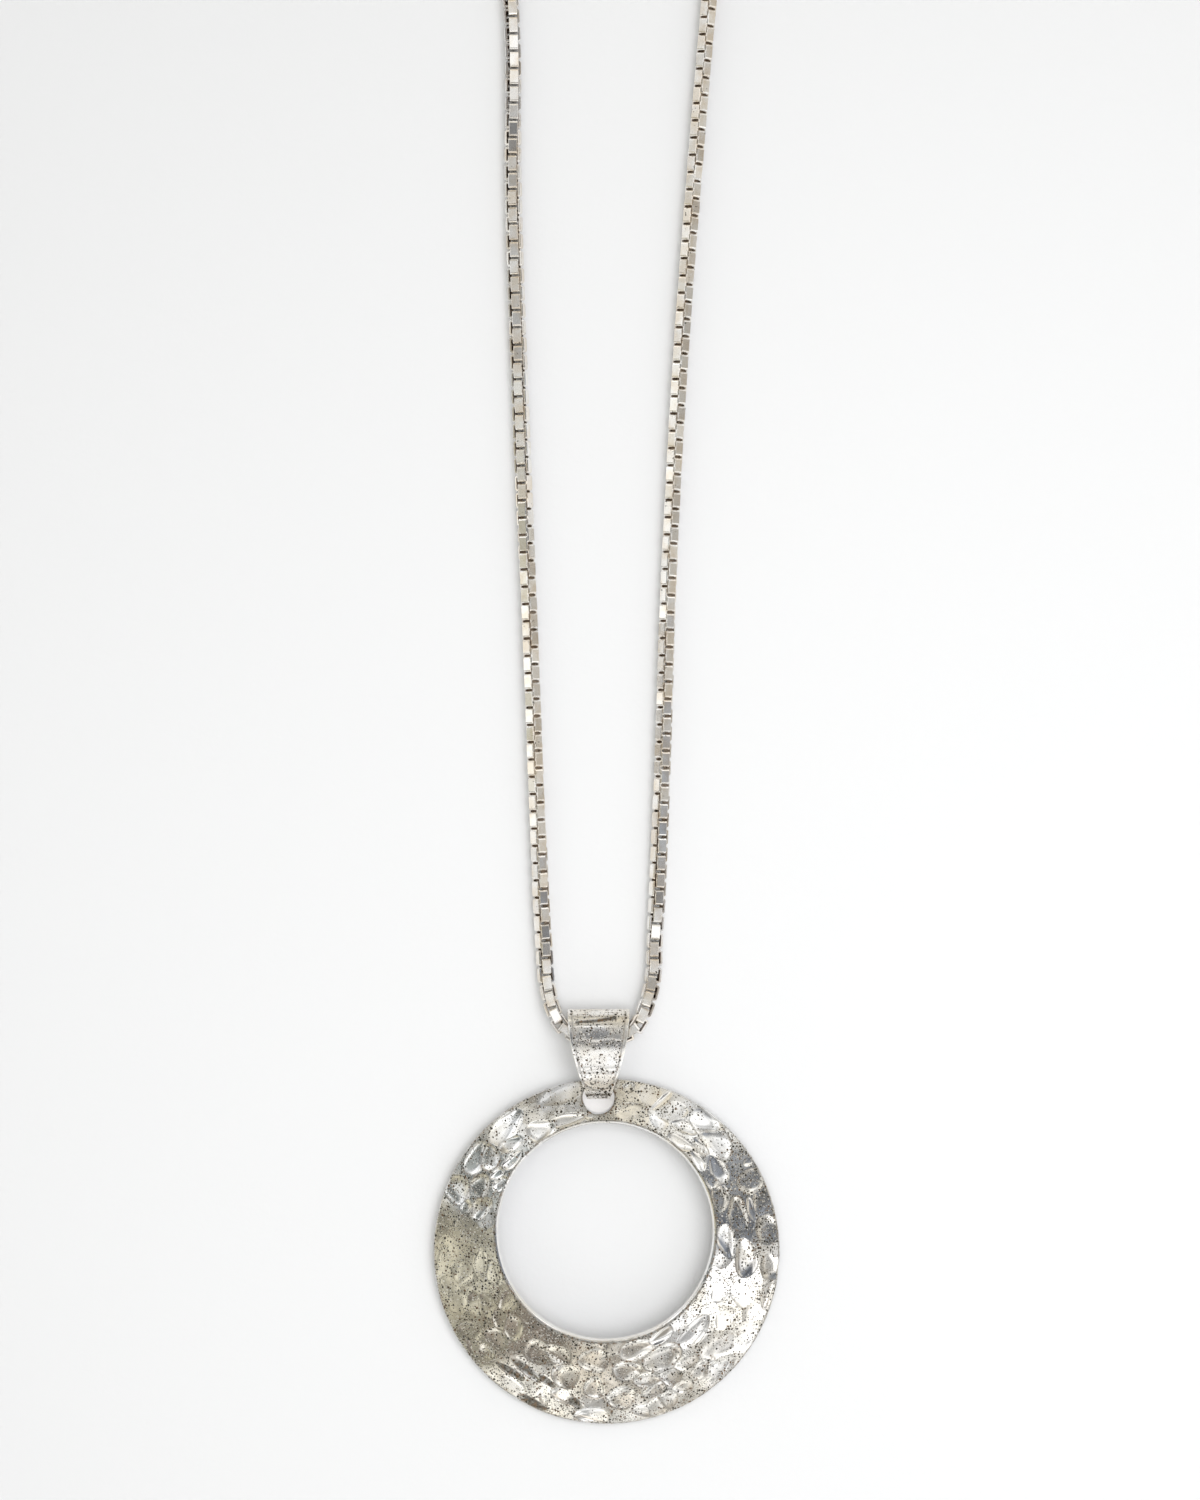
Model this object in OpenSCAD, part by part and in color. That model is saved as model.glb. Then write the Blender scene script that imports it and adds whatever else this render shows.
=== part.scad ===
// Circle pendant necklace: a hammered, domed disc with an off-centre opening, carried by a
// folded bail on a box chain. It lies on a flat surface, face up, with +Y towards the clasp.

/* [Circle] */
// Outer diameter of the domed disc
circle_d = 40; // [36:1:40]
// Diameter of the large opening
opening_d = 25.2; // [22:0.2:26]
// How far the large opening sits above the middle of the disc
opening_shift = 2.7; // [2.2:0.1:2.9]
// Thickness of the sheet
sheet_t = 1; // [0.8:0.1:1.1]
// Radius of the dome, measured on its upper face
dome_r = 44.5; // [42:0.5:60]
// Diameter of the small hole for the bail
bail_hole_d = 3.7; // [3.65:0.05:3.75]
// Turn of the disc, anticlockwise as seen from above
circle_turn = 3; // [0:1:6]

/* [Bail] */
// Thickness of the folded strip
bail_t = 0.8; // [0.7:0.1:0.9]
// Height of the folded bail from its tip to its top
bail_len = 10.4; // [10:0.1:11]
// Width across the top fold
bail_w = 7.2; // [6.8:0.1:7.6]
// Radius of the arcs that taper both edges
bail_edge_r = 26; // [25:0.5:26]
// Outer radius of the fold at the top, round the chain
bail_top_r = 2.3; // [2.3:0.05:2.4]
// Outer radius of the fold at the tip, through the disc
bail_tip_r = 2; // [1.95:0.05:2]
// Radius of the crowned front leaf
bail_front_r = 14; // [12:1:20]

/* [Chain] */
// Width of the box chain across its flats
chain_w = 1.92; // [1.6:0.08:1.92]
// Step between two sections of the chain, where its route is nearly straight
chain_step = 6.2; // [6.2:0.2:8]

/* [Clasp] */
// Length of the barrel clasp
clasp_len = 11; // [11:0.5:12]
// Diameter of the barrel clasp
clasp_d = 3.2; // [2.8:0.1:3.2]

/* [Hidden] */
$fn = 96;

// The middle of the disc, its small hole above that, and the clasp at the far end
circle_y = -108;
bail_hole_y = 17.95;
bail_hole_r = bail_hole_d / 2;
clasp_y = 126.4;

// The middle line of the bail, and its tip above the middle of the disc
bail_x = -0.93;
bail_tip_up = 17.66;
bail_tip_y = circle_y + bail_tip_up;
bail_top_y = bail_tip_y + bail_len;

// The disc's rim rests on the surface at its lower end and on the bail's back leaf at its top
circle_r = circle_d / 2;
leaf_gap = 0.1;
circle_tilt = asin((bail_t + leaf_gap) / circle_d);
dome_drop = sqrt(pow(dome_r - sheet_t, 2) - pow(circle_r, 2));
opening_cone = asin(opening_d / 2 / dome_r);
opening_lean = asin(opening_shift / dome_r / cos(opening_cone));

// The crowned front leaf meets both folds in a faint crease, a little inside where it would
// only touch them
top_c = [bail_top_y - bail_top_r, bail_top_r];
tip_c = [bail_tip_y + bail_tip_r, bail_tip_r];
fold_gap = norm(top_c - tip_c);
fold_dir = (top_c - tip_c) / fold_gap;
crease = 0.04;
tip_reach = bail_front_r - bail_tip_r + crease;
top_reach = bail_front_r - bail_top_r + crease;
front_along = (pow(tip_reach, 2) - pow(top_reach, 2) + pow(fold_gap, 2)) / (2 * fold_gap);
front_down = sqrt(pow(tip_reach, 2) - pow(front_along, 2));
front_c = tip_c + fold_dir * front_along + [fold_dir[1], -fold_dir[0]] * front_down;

// Middles of the arcs that taper the bail, a little above its top
edge_up = 0.7;
edge_y = bail_top_y + edge_up;
edge_x = sqrt(pow(bail_edge_r, 2) - pow(edge_up, 2)) - bail_w / 2;

// Rounding of the clasp's ends, and the seam round its middle
clasp_r = clasp_d / 2;
clasp_round = 0.6;
seam_depth = 0.2;
seam_w = 0.3;

// Route of the chain's middle line, from one end of the clasp round to the other
rest_z = chain_w / 2;
route = [
    [-clasp_len / 2, clasp_y, clasp_r],
    [-10, 125.3, 1.2],
    [-15, 121.4, rest_z],
    [-19, 113.2, rest_z],
    [-20.3, 103, rest_z],
    [-19, 87, rest_z],
    [-15.9, 70, rest_z],
    [-12.7, 52, rest_z],
    [-11, 35, rest_z],
    [-10.8, 15, rest_z],
    [-9.9, -12, rest_z],
    [-8.9, -35, rest_z],
    [-7.9, -60, rest_z],
    [-7.3, -72, rest_z],
    [-6.7, -78.2, 1.2],
    [-6, -80.5, 1.7],
    [-5, -82.1, 2],
    [-3.6, -82.9, 1.9],
    [-2.3, -83.2, 1.9],
    [-0.8, -83.4, 1.9],
    [0.8, -83.2, 1.9],
    [2.1, -82.9, 1.9],
    [3.3, -82.1, 2],
    [4.2, -80.5, 1.7],
    [5, -78.2, 1.2],
    [5.6, -71, rest_z],
    [6.3, -56, rest_z],
    [7.2, -30, rest_z],
    [8.6, -4, rest_z],
    [10.1, 16, rest_z],
    [11.7, 35, rest_z],
    [13.3, 52, rest_z],
    [15.9, 70, rest_z],
    [19, 87, rest_z],
    [20.3, 103, rest_z],
    [19, 113.2, rest_z],
    [15, 121.4, rest_z],
    [10, 125.3, 1.2],
    [clasp_len / 2, clasp_y, clasp_r],
];
last = len(route) - 1;
chain_sides = 8;

function unit(v) = v / norm(v);
function span(i) = norm(route[i + 1] - route[i]);
function slope(i) = (route[i + 1] - route[i]) / span(i);

// Direction of the route at one of its points, weighted towards the nearer neighbour
function heading(i) =
    i == 0 ? slope(0)
    : i == last ? slope(last - 1)
    : (slope(i - 1) * span(i) + slope(i) * span(i - 1)) / (span(i - 1) + span(i));

// A point on the smooth curve between point i and the next, for t from 0 to 1
function on_curve(i, t) =
    (2 * t * t * t - 3 * t * t + 1) * route[i]
    + (t * t * t - 2 * t * t + t) * span(i) * heading(i)
    + (3 * t * t - 2 * t * t * t) * route[i + 1]
    + (t * t * t - t * t) * span(i) * heading(i + 1);

// The same point, kept from dipping below the resting height of the chain
function on_surface(p) = [p[0], p[1], max(p[2], rest_z)];

path = concat(
    [
        for (i = [0 : last - 1])
            let (steps = max(1, round(span(i) / chain_step)))
            for (k = [0 : steps - 1]) on_surface(on_curve(i, k / steps))
    ],
    [route[last]]
);
path_last = len(path) - 1;

// The end sections stand square to the clasp, the others to the path
function path_heading(i) =
    i == 0 ? [-1, 0, 0]
    : i == path_last ? [-1, 0, 0]
    : unit(unit(path[i + 1] - path[i]) + unit(path[i] - path[i - 1]));

// One eight-sided section of the chain, with a flat side down
function chain_section(i) =
    let (
        ahead = path_heading(i),
        side = unit(cross([0, 0, 1], ahead)),
        up = cross(ahead, side),
        corner_r = chain_w / 2 / cos(180 / chain_sides)
    )
    [
        for (k = [0 : chain_sides - 1])
            let (a = 360 * (k + 0.5) / chain_sides)
            path[i] + corner_r * (cos(a) * side + sin(a) * up)
    ];

// The domed sheet before it is pierced, standing on its rim
module domed_disc() {
    translate([0, 0, -dome_drop])
        intersection() {
            difference() {
                sphere(dome_r);
                sphere(dome_r - sheet_t);
            }
            cylinder(h = dome_r + 1, r = circle_r);
        }
}

// The large opening, cut square to the sheet all round
module opening_cut() {
    cone_h = dome_r + 2;
    translate([0, 0, -dome_drop])
        rotate([-opening_lean, 0, 0])
            cylinder(h = cone_h, r1 = 0, r2 = cone_h * tan(opening_cone));
}

module pendant_circle() {
    color([0.80, 0.79, 0.77])
        translate([0, circle_y, 0])
            rotate([0, 0, circle_turn])
                translate([0, -circle_r, 0])
                    rotate([circle_tilt, 0, 0])
                        translate([0, circle_r, 0])
                            difference() {
                                domed_disc();
                                opening_cut();
                                translate([0, bail_hole_y, -1])
                                    cylinder(h = dome_r, r = bail_hole_r);
                            }
}

// Side view of the folded strip, in Y and Z, drawn in by inset on all sides
module bail_side(inset) {
    translate(top_c) circle(bail_top_r - inset);
    translate(tip_c) circle(bail_tip_r - inset);
    polygon([[tip_c[0], inset], [top_c[0], inset], top_c, tip_c]);
    intersection() {
        translate(front_c) circle(bail_front_r - inset);
        polygon([tip_c, 2 * tip_c - front_c, 2 * top_c - front_c, top_c]);
    }
}

// Front view of the strip, in X and Y, tapered by an arc on each side
module bail_front() {
    intersection() {
        translate([-bail_w / 2, bail_tip_y]) square([bail_w, bail_len]);
        translate([-edge_x, edge_y]) circle(bail_edge_r);
        translate([edge_x, edge_y]) circle(bail_edge_r);
    }
}

module bail() {
    color([0.78, 0.77, 0.74])
        translate([bail_x, 0, 0])
            intersection() {
                translate([-bail_w / 2, 0, 0])
                    rotate([90, 0, 90])
                        linear_extrude(bail_w)
                            difference() {
                                bail_side(0);
                                bail_side(bail_t);
                            }
                linear_extrude(3 * bail_top_r)
                    bail_front();
            }
}

module chain() {
    color([0.74, 0.74, 0.72])
        polyhedron(
            points = [for (i = [0 : path_last]) each chain_section(i)],
            faces = concat(
                [[for (k = [0 : chain_sides - 1]) k]],
                [
                    for (i = [0 : path_last - 1], k = [0 : chain_sides - 1])
                        let (
                            n = (k + 1) % chain_sides,
                            a = i * chain_sides,
                            b = a + chain_sides
                        )
                        [a + k, b + k, b + n, a + n]
                ],
                [[for (k = [chain_sides - 1 : -1 : 0]) path_last * chain_sides + k]]
            )
        );
}

// Half of the barrel's side view, from its middle line outwards
module clasp_side() {
    translate([0, -clasp_len / 2]) square([clasp_r - clasp_round, clasp_len]);
    translate([0, clasp_round - clasp_len / 2]) square([clasp_r, clasp_len - 2 * clasp_round]);
    for (end = [-1, 1])
        translate([clasp_r - clasp_round, end * (clasp_len / 2 - clasp_round)]) circle(clasp_round);
}

module clasp() {
    color([0.80, 0.79, 0.77])
        translate([0, clasp_y, clasp_r])
            rotate([0, 90, 0])
                rotate_extrude()
                    difference() {
                        clasp_side();
                        translate([clasp_r, 0]) square([2 * seam_depth, seam_w], center = true);
                    }
}

pendant_circle();
bail();
chain();
clasp();
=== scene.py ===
# Circle pendant necklace, laid flat: a hammered silver disc, its folded bail, a box chain
# and a barrel clasp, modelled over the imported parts. Lengths are in metres unless said.
import math
import random

import bmesh
import bpy
import numpy as np
from mathutils import Matrix, Vector


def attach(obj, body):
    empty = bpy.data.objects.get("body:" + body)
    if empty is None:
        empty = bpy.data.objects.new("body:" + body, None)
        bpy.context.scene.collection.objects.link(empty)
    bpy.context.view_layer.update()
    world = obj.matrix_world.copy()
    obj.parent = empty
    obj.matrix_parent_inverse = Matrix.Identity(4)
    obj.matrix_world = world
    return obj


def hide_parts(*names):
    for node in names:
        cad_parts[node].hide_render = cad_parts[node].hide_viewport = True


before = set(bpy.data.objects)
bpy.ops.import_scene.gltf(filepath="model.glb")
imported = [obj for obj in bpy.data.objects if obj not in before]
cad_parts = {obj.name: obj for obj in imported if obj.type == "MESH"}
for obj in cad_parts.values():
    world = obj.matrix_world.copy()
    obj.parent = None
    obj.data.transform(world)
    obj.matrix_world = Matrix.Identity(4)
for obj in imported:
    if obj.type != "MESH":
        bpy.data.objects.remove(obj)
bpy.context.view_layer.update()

mm = 0.001
near = 1e-6  # points closer than this count as one


# Working helpers: selection, edit mode, modifiers, points and masks

def pickPiece(piece):
    bpy.ops.object.select_all(action="DESELECT")
    piece.select_set(True)
    bpy.context.view_layer.objects.active = piece


def startEdit(piece):
    pickPiece(piece)
    bpy.ops.object.mode_set(mode="EDIT")
    bpy.ops.mesh.select_all(action="DESELECT")


def leaveEdit():
    bpy.ops.object.mode_set(mode="OBJECT")


def pickAll():
    bpy.ops.mesh.select_all(action="SELECT")


def faceOutwards():
    # turns every face outwards and leaves edit mode
    pickAll()
    bpy.ops.mesh.normals_make_consistent(inside=False)
    leaveEdit()


def pickEdges(piece, wanted):
    # selects the edges with both ends at points for which wanted(point) holds
    bpy.ops.mesh.select_mode(type="EDGE")
    bpy.ops.mesh.select_all(action="DESELECT")
    sketch = bmesh.from_edit_mesh(piece.data)
    for edge in sketch.edges:
        if all(wanted(end.co) for end in edge.verts):
            edge.select_set(True)
    bmesh.update_edit_mesh(piece.data)


def useModifier(piece, kind, **settings):
    # adds a modifier with these settings and applies it at once
    pickPiece(piece)
    modifier = piece.modifiers.new(kind.title(), kind)
    for key, value in settings.items():
        setattr(modifier, key, value)
    bpy.ops.object.modifier_apply(modifier=modifier.name)


def smoothShade(piece, degrees):
    pickPiece(piece)
    bpy.ops.object.shade_smooth_by_angle(angle=math.radians(degrees))


def readPoints(mesh):
    flat = np.empty(len(mesh.vertices) * 3)
    mesh.vertices.foreach_get("co", flat)
    return flat.reshape(-1, 3)


def writePoints(mesh, points):
    mesh.vertices.foreach_set("co", points.astype(np.float32).ravel())
    mesh.update()


def storeMask(mesh, name, values):
    mask = mesh.attributes.new(name, "FLOAT", "POINT")
    mask.data.foreach_set("value", np.asarray(values, np.float32))


def handOver(piece, name, material, node):
    piece.name = name
    piece.data.name = name
    piece.data.materials.clear()
    piece.data.materials.append(material)
    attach(piece, "root")
    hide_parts(node)


# Camera: straight above, as the picture was taken

shot = {
    "tallSide": 173.9 * mm,  # what the picture's long side takes in at the necklace
    "middle": (-0.765 * mm, -50.03 * mm),
    "height": 602 * mm,
    "clip": 10 * mm,
}


def placeCamera():
    bpy.ops.object.camera_add(location=(*shot["middle"], shot["height"]), rotation=(0, 0, 0))
    camera = bpy.context.object
    camera.name = "aboveCamera"
    camera.data.lens = camera.data.sensor_width * shot["height"] / shot["tallSide"]
    camera.data.clip_start = shot["clip"]
    bpy.context.scene.camera = camera


placeCamera()
print("camera set")


# Shader groups shared by the silver pieces

def newGroup(name, inputs, outputs):
    # a node group with named inputs and outputs, each a Vector, Float or Color
    group = bpy.data.node_groups.new(name, "ShaderNodeTree")
    for way, sockets in (("INPUT", inputs), ("OUTPUT", outputs)):
        for label, kind in sockets.items():
            group.interface.new_socket(label, in_out=way, socket_type="NodeSocket" + kind)
    return group, group.nodes.new("NodeGroupInput"), group.nodes.new("NodeGroupOutput")


def plug(tree, value, socket):
    # a link from another node, or a plain value
    if isinstance(value, bpy.types.NodeSocket):
        tree.links.new(value, socket)
    else:
        socket.default_value = value


def addNode(tree, kind, settings=None, **inputs):
    # one node with its settings and inputs, given by name or, as at0, by number
    node = tree.nodes.new("ShaderNode" + kind)
    for key, value in (settings or {}).items():
        setattr(node, key, value)
    for key, value in inputs.items():
        which = int(key[2:]) if key.startswith("at") else key.replace("_", " ")
        plug(tree, value, node.inputs[which])
    return node


def addGroup(tree, group, **inputs):
    node = tree.nodes.new("ShaderNodeGroup")
    node.node_tree = group
    for key, value in inputs.items():
        plug(tree, value, node.inputs[key])
    return node


def maths(tree, operation, first, second=0.0, clamp=False):
    settings = {"operation": operation, "use_clamp": clamp}
    return addNode(tree, "Math", settings, at0=first, at1=second).outputs[0]


def fade(tree, value, low, high, least=0.0, most=1.0):
    # eases from least to most while value goes from low to high
    node = addNode(tree, "MapRange", {"interpolation_type": "SMOOTHSTEP"}, Value=value,
                   From_Min=low, From_Max=high, To_Min=least, To_Max=most)
    return node.outputs["Result"]


def blendColours(tree, amount, first, second):
    node = addNode(tree, "Mix", {"data_type": "RGBA"}, at0=amount, at6=first, at7=second)
    return node.outputs[2]


def vectors(tree, operation, **inputs):
    return addNode(tree, "VectorMath", {"operation": operation}, **inputs).outputs["Vector"]


def noise(tree, place, scale, detail=3.0, roughness=0.6):
    node = addNode(tree, "TexNoise", Vector=place, Scale=scale, Detail=detail, Roughness=roughness)
    return node.outputs["Fac"]


pitStyle = {
    "appear": 0.08,  # how softly dots come in as their share grows
    "radius": 0.22,  # least radius of a dot in its cell, and how much larger it can be
    "spread": 0.26,
    "rim": 0.1,
    "jitter": 0.16 * mm,  # pushes the dots out of their round shape
    "jitterGrain": 7000.0,
    "swing": 2.4,  # how much the clouds change the share of cells with a dot
    "smallGrain": 1.7,  # how much finer small dots and specks are than large dots
    "speckGrain": 1.3,
    "speckShare": 0.8,
    "film": (0.1, 1.1),  # share of cells with a dot where the film starts and is full
    "warming": (0.36, 0.66),  # values of the slow noise where the warm tone starts and is full
}


def dots(tree, place, scale, share):
    # a round dot in each cell whose own random value lies under share
    cells = addNode(tree, "TexVoronoi", Vector=place, Scale=scale)
    own = addNode(tree, "SeparateColor", Color=cells.outputs["Color"])
    spare = maths(tree, "SUBTRACT", share, own.outputs["Red"])
    present = fade(tree, spare, 0.0, pitStyle["appear"])
    larger = maths(tree, "MULTIPLY", own.outputs["Green"], pitStyle["spread"])
    radius = maths(tree, "ADD", larger, pitStyle["radius"])
    within = maths(tree, "SUBTRACT", radius, cells.outputs["Distance"])
    disk = fade(tree, within, 0.0, pitStyle["rim"])
    return maths(tree, "MULTIPLY", present, disk)


def makePitGroup():
    # small round pits of oxide and chalky specks, dense where Amount and the clouds say
    group, given, made = newGroup(
        "oxidePits",
        {"Place": "Vector", "Grain": "Float", "Amount": "Float", "Clouds": "Float"},
        {"Pits": "Float", "Specks": "Float", "Film": "Float"})
    place, grain, amount = given.outputs["Place"], given.outputs["Grain"], given.outputs["Amount"]
    clouds = noise(group, place, given.outputs["Clouds"])
    jitter = addNode(group, "TexNoise", Vector=place, Scale=pitStyle["jitterGrain"], Detail=1.0)
    shift = vectors(group, "SCALE", at0=jitter.outputs["Color"], Scale=pitStyle["jitter"])
    place = vectors(group, "ADD", at0=place, at1=shift)
    swing = maths(group, "MULTIPLY", maths(group, "SUBTRACT", clouds, 0.5), pitStyle["swing"])
    share = maths(group, "ADD", amount, swing)
    large = dots(group, place, grain, share)
    small = dots(group, place, maths(group, "MULTIPLY", grain, pitStyle["smallGrain"]), share)
    speckGrain = maths(group, "MULTIPLY", grain, pitStyle["speckGrain"])
    specks = dots(group, place, speckGrain, maths(group, "MULTIPLY", share, pitStyle["speckShare"]))
    group.links.new(maths(group, "MAXIMUM", large, small), made.inputs["Pits"])
    group.links.new(specks, made.inputs["Specks"])
    group.links.new(fade(group, share, *pitStyle["film"]), made.inputs["Film"])
    return group


def makeToneGroup():
    # slow changes of tone over the silver, from bright to a light warm tarnish
    group, given, made = newGroup(
        "silverTone",
        {"Place": "Vector", "Spread": "Float", "Bright": "Color", "Warm": "Color"},
        {"Tone": "Color", "Dullness": "Float"})
    slow = noise(group, given.outputs["Place"], given.outputs["Spread"], roughness=0.55)
    share = fade(group, slow, *pitStyle["warming"])
    tone = blendColours(group, share, given.outputs["Bright"], given.outputs["Warm"])
    group.links.new(tone, made.inputs["Tone"])
    group.links.new(share, made.inputs["Dullness"])
    return group


pitGroup = makePitGroup()
toneGroup = makeToneGroup()

# colours of oxide pits, also given to the disc's dark lines of painted shade and painted dark
# reflection
oxide = (0.050, 0.047, 0.036, 1)
brownOxide = (0.20, 0.13, 0.075, 1)

silverStyle = {
    "streaks": 3,  # how much finer the streaks are than the clouds
    "breaks": (0.38, 0.62),  # the streaks' values between which a dark line is broken and whole
    "browning": (0.5, 0.62),  # and between which oxide turns brown
    "oxideRough": 0.35,  # how much rougher oxide is than silver
}


def newMaterial(name):
    material = bpy.data.materials.new(name)
    material.use_nodes = True
    tree = material.node_tree
    shader = tree.nodes["Principled BSDF"]
    shader.inputs["Metallic"].default_value = 1.0
    place = tree.nodes.new("ShaderNodeTexCoord").outputs["Object"]
    return material, tree, shader, place


def readMask(tree, name):
    node = tree.nodes.new("ShaderNodeAttribute")
    node.attribute_name = name
    return node.outputs["Fac"]


def layGroups(tree, place, look, amount):
    # the tone and the pits that every silver has, with this look's values
    tone = addGroup(tree, toneGroup, Place=place, Spread=look["spread"],
                    Bright=look["bright"], Warm=look["warm"])
    pits = addGroup(tree, pitGroup, Place=place, Grain=look["grain"],
                    Amount=amount, Clouds=look["clouds"])
    return tone, pits


def emboss(tree, shader, look, height):
    bump = addNode(tree, "Bump", Strength=look["bump"], Distance=look["bumpDepth"], Height=height)
    tree.links.new(bump.outputs["Normal"], shader.inputs["Normal"])


def makeSilver(name, look):
    # silver with pits and film where the piece's own tarnish mask says
    material, tree, shader, place = newMaterial(name)
    tarnish = readMask(tree, "tarnish")
    seam = readMask(tree, "seam")
    tone, pits = layGroups(tree, place, look, maths(tree, "ADD", tarnish, look["pitting"]))
    film = maths(tree, "MULTIPLY", pits.outputs["Film"], look["film"])
    filmed = blendColours(tree, film, tone.outputs["Tone"], look["filmColour"])
    streaks = noise(tree, place, look["clouds"] * silverStyle["streaks"])
    whole = fade(tree, streaks, *silverStyle["breaks"], look["unbroken"], 1.0)
    # dark lines from the seam mask: oxide in grooves and creases, and on the disc also painted
    # shade and painted dark reflection
    line = maths(tree, "MULTIPLY", seam, whole, True)
    dark = maths(tree, "MAXIMUM", pits.outputs["Pits"], maths(tree, "MULTIPLY", line, look["seam"]))
    stainAndShade = blendColours(tree, fade(tree, streaks, *silverStyle["browning"]), oxide, brownOxide)
    tree.links.new(blendColours(tree, dark, filmed, stainAndShade), shader.inputs["Base Color"])
    dull = maths(tree, "MULTIPLY", tone.outputs["Dullness"], look["dull"])
    rough = maths(tree, "ADD", dull, look["gloss"])
    chalk = maths(tree, "MULTIPLY", pits.outputs["Specks"], look["chalk"])
    tarnishAndShade = maths(tree, "MAXIMUM", maths(tree, "MULTIPLY", dark, silverStyle["oxideRough"]), chalk)
    rough = maths(tree, "ADD", rough, tarnishAndShade, True)
    tree.links.new(rough, shader.inputs["Roughness"])
    ripple = noise(tree, place, look["ripple"])
    swell = maths(tree, "MULTIPLY", ripple, look["rippleDepth"])
    height = maths(tree, "SUBTRACT", swell, pits.outputs["Pits"])
    emboss(tree, shader, look, height)
    return material


# The hammered disc

circle = {
    "middleY": -108 * mm,
    "outer": 20 * mm,
    "opening": 12.6 * mm,
    "openingUp": 2.7 * mm,  # the opening's middle above the disc's
    "sheet": 1 * mm,
    "dome": 44.5 * mm,  # radius of the upper face
    "wallPower": 4,  # how soon the squareness of the opening's wall fades out from it
    "hole": 1.85 * mm,
    "holeUp": 17.95 * mm,
    "holeSides": 96,
    "turn": 3,  # degrees anticlockwise
    "leaf": 0.9 * mm,  # the bail's back leaf under the upper rim, with its gap
    "around": 880,
    "smooth": 40,  # degrees up to which edges are shaded smooth
    "seed": 11,
}

blows = {
    "bite": 1.15,  # how much deeper the marks are struck than charted
    "bowl": 3.2,  # power of a mark's section, flat in its middle and steep at its rim
    "lean": 0.6,  # how far each mark's floor leans, as a share of its depth for each mm
    "wobble": [(2, 0.09), (3, 0.07)],  # waves round a mark's rim, and their height
    "phase": 6.3,  # each wave starts anywhere in a full turn
    "ground": 0.3,  # tarnish where there is no mark
    "stroke": 0.9,  # marks with more tarnish than this get a black stroke, a painted dark reflection
    "strokeReach": 1.15,  # how far the black goes past a stroke's rim, and over how much it fades
    "strokeFade": 0.5,
    # shallow marks between the charted ones: how many, in how many rows, the shares of a row and
    # the turn (radians) that they stray over; half their length and width (mm), lie, depth (mm)
    # and tarnish
    "fillers": (70, 3, (0.2, 0.8), (-0.03, 0.03)),
    "filler": [(1.2, 2.0), (0.9, 1.4), (-0.5, 0.5), (0.008, 0.022), (0.2, 0.4)],
}

# the sheet's section as circles: share of the way from rim to opening, depth as a share of
# the sheet's thickness, and how many circles are put in before the next row
sheetRows = [
    (0.012, 0.00, 82),
    (0.978, 0.00, 0),
    (1.000, 0.16, 1),
    (1.000, 0.88, 0),
    (0.985, 1.00, 10),
    (0.015, 1.00, 0),
    (0.000, 0.88, 1),
    (0.000, 0.12, 0),
]
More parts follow.
